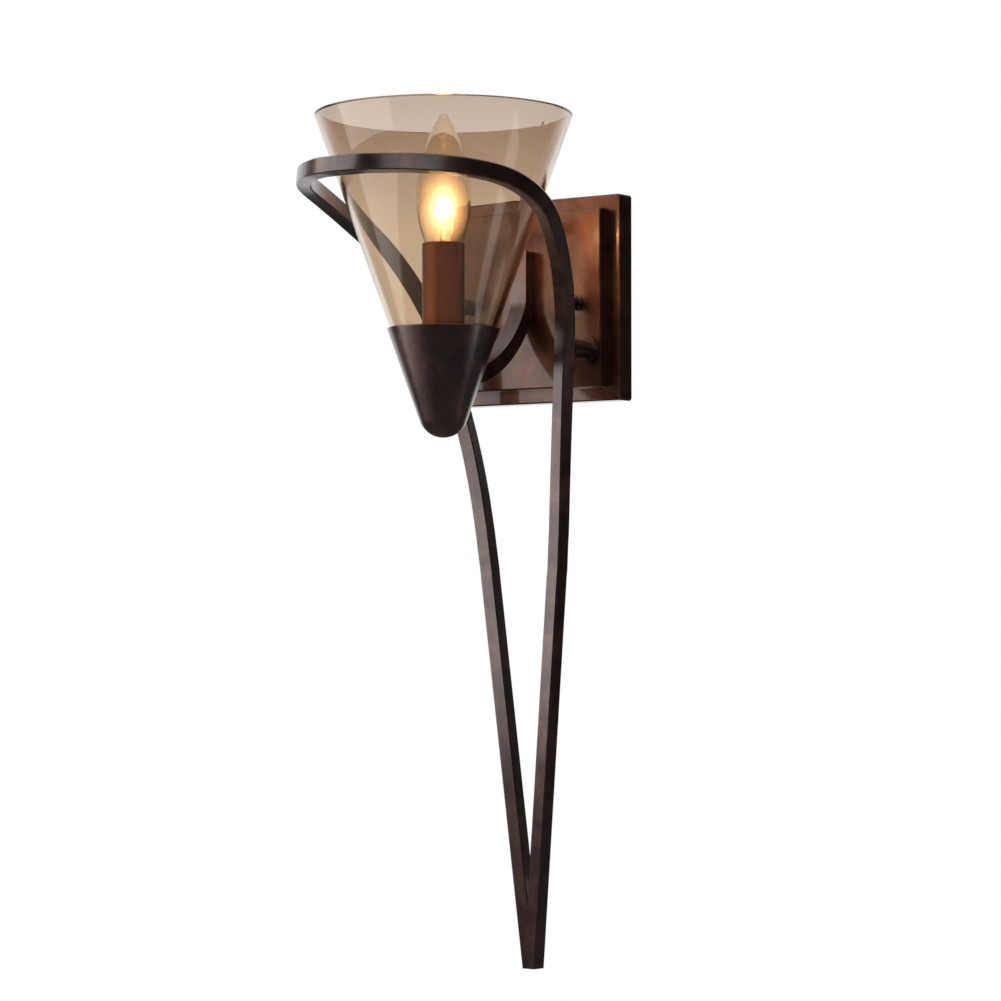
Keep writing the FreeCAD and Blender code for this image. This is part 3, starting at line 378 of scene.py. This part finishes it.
def add_light(name, data):
    light = bpy.data.objects.new(name, data)
    light.visible_camera = False
    bpy.context.scene.collection.objects.link(light)
    return light


def area_light(name, spot, aim, size, radiance):
    data = bpy.data.lights.new(name, "AREA")
    data.shape = "RECTANGLE"
    data.size, data.size_y = size
    data.energy = radiance * math.pi * size[0] * size[1]
    light = add_light(name, data)
    light.location = spot
    toward = Vector(aim) - Vector(spot)
    light.rotation_euler = toward.to_track_quat("-Z", "Y").to_euler()


def filament_light():
    """The lamp's own light, which goes with the bulb."""
    data = bpy.data.lights.new("filament_light", "POINT")
    data.energy = LAMP_POWER
    data.color = LAMP_COLOUR
    data.shadow_soft_size = LAMP_RADIUS
    add_light("filament_light", data).parent = GLOW


for card in CARDS:
    area_light(*card)
filament_light()


# --- world and floor ----------------------------------------------------------------------------
FILL_LEVEL = 0.32          # what matt surfaces receive from all round
DARK_LEVEL = 0.01          # what metal and glass mirror beside the backdrop
CEILING_LEVEL = 0.7        # and what they mirror overhead
BACKDROP_EDGE = (0.60, 0.85)      # dark to white, as a cosine from straight behind the object
CEILING_EDGE = (0.45, 0.90)       # dark to ceiling, as the sine of the height
FLOOR_Z = -0.90
FLOOR_RADIUS = 3.6
FLOOR_SIDES = 96
FLOOR_GREYS = ((0.19, 0.19, 0.19), (0.21, 0.21, 0.21))
FLOOR_SHINE = 0.88         # how white the floor shows to the eye, before the light that it gets


def make_world():
    """White to the eye and through glass; metal sees it white behind the object only."""
    world = bpy.data.worlds.new("studio")
    world.use_nodes = True
    tree = world.node_tree
    tree.nodes.clear()
    azimuth = math.radians(CAMERA_AZIMUTH)
    behind = (-math.sin(azimuth), math.cos(azimuth), 0.0)
    coord = put(tree, "ShaderNodeTexCoord").outputs["Generated"]
    dot = vector_node(tree, "DOT_PRODUCT", "Value", coord, behind)
    backdrop = spread(tree, dot, *BACKDROP_EDGE, DARK_LEVEL, 1.0, smooth=True)
    height = put(tree, "ShaderNodeSeparateXYZ", {0: coord}).outputs["Z"]
    ceiling = spread(tree, height, *CEILING_EDGE, DARK_LEVEL, CEILING_LEVEL, smooth=True)
    image = math_node(tree, "MAXIMUM", backdrop, ceiling)
    seen = seen_directly(tree)
    glossy = put(tree, "ShaderNodeLightPath").outputs["Is Glossy Ray"]
    mirrored = math_node(tree, "MULTIPLY", glossy, math_node(tree, "SUBTRACT", 1.0, seen))
    rest = math_node(tree, "SUBTRACT", 1.0, math_node(tree, "MAXIMUM", seen, mirrored))
    level = math_node(tree, "ADD", seen, math_node(tree, "MULTIPLY", mirrored, image))
    level = math_node(tree, "ADD", level, math_node(tree, "MULTIPLY", rest, FILL_LEVEL))
    shade = put(tree, "ShaderNodeBackground", {"Color": (1, 1, 1, 1), "Strength": level})
    out = put(tree, "ShaderNodeOutputWorld")
    tree.links.new(shade.outputs["Background"], out.inputs["Surface"])
    bpy.context.scene.world = world


def make_floor():
    mesh = bpy.data.meshes.new("floor")
    form = bmesh.new()
    bmesh.ops.create_circle(form, cap_ends=True, segments=FLOOR_SIDES, radius=FLOOR_RADIUS)
    form.to_mesh(mesh)
    form.free()
    floor = bpy.data.objects.new("floor", mesh)
    floor.location = (0, 0, FLOOR_Z)
    bpy.context.scene.collection.objects.link(floor)
    material, tree, surface = blank("pale_floor")
    speck = noise(tree, space(tree), 40.0)
    tree.links.new(ramp(tree, speck, pair(*FLOOR_GREYS)), surface.inputs["Base Color"])
    surface.inputs["Roughness"].default_value = 0.9
    surface.inputs["Specular IOR Level"].default_value = 0.0
    surface.inputs["Emission Color"].default_value = (1, 1, 1, 1)
    tree.links.new(math_node(tree, "MULTIPLY", seen_directly(tree), FLOOR_SHINE),
                   surface.inputs["Emission Strength"])
    mesh.materials.append(material)


make_world()
make_floor()

bpy.context.scene.view_settings.view_transform = "Standard"
